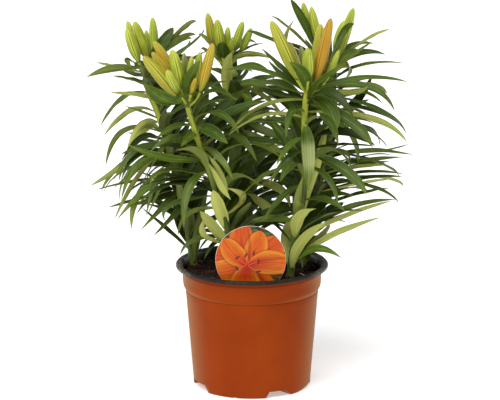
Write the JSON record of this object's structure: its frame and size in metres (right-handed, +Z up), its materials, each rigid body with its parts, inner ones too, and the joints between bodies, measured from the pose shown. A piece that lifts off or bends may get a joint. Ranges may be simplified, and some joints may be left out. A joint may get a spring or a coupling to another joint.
{
  "type": "potted lily",
  "caption": "Potted asiatic lily with closed flower buds on upright leafy stems, in a tapered plastic nursery pot with a round plant label.",
  "frame": {"origin": "centre of the pot's flat underside, on the ground", "axes": "+Z up along the pot's axis, -Y towards the side that the plant label faces, +X to the right as seen from that side"},
  "size_m": [0.4155, 0.2726, 0.4873],
  "materials": {
    "pot_plastic": "matt terracotta plastic outside, black inside and on the rolled rim",
    "soil": "loose dark potting soil with bark chips",
    "label_card": "glossy printed plastic card with a flower pattern, plain back",
    "foliage": "satin green leaf above, paler and more matt below, yellow-green stems",
    "buds": "satin yellow-green closed buds, some flushed orange",
    "bulb": "matt cream bulb scales, under the soil"
  },
  "bodies": {
    "root": {"pot": "pot_plastic", "soil": "soil", "plant_label": "label_card", "leafy_stem_back_left": "foliage", "leafy_stem_front_left": "foliage", "leafy_stem_middle": "foliage", "leafy_stem_front_right": "foliage", "leafy_stem_back_right": "foliage", "bulb_back_left": "bulb", "bulb_front_left": "bulb", "bulb_middle": "bulb", "bulb_front_right": "bulb", "bulb_back_right": "bulb", "bud_back_left_1": "buds", "bud_back_left_2": "buds", "bud_back_left_3": "buds", "bud_back_left_4": "buds", "bud_back_left_5": "buds", "bud_front_left_1": "buds", "bud_front_left_2": "buds", "bud_front_left_3": "buds", "bud_front_left_4": "buds", "bud_front_left_5": "buds", "bud_front_left_6": "buds", "bud_front_left_7": "buds", "bud_front_left_8": "buds", "bud_front_left_9": "buds", "bud_front_left_10": "buds", "bud_middle_1": "buds", "bud_middle_2": "buds", "bud_middle_3": "buds", "bud_middle_4": "buds", "bud_middle_5": "buds", "bud_middle_6": "buds", "bud_front_right_1": "buds", "bud_front_right_2": "buds", "bud_front_right_3": "buds", "bud_front_right_4": "buds", "bud_front_right_5": "buds", "bud_front_right_6": "buds", "bud_front_right_7": "buds", "bud_back_right_1": "buds", "bud_back_right_2": "buds", "bud_back_right_3": "buds", "bud_back_right_4": "buds", "leaf_back_left_1": "foliage", "leaf_back_left_2": "foliage", "leaf_back_left_3": "foliage", "leaf_back_left_4": "foliage", "leaf_front_left_1": "foliage", "leaf_front_left_2": "foliage", "leaf_middle_1": "foliage", "leaf_middle_2": "foliage", "leaf_front_right_1": "foliage", "leaf_front_right_2": "foliage", "leaf_front_right_3": "foliage", "leaf_front_right_4": "foliage", "leaf_front_right_5": "foliage", "leaf_front_right_6": "foliage"}
  },
  "joints": []
}
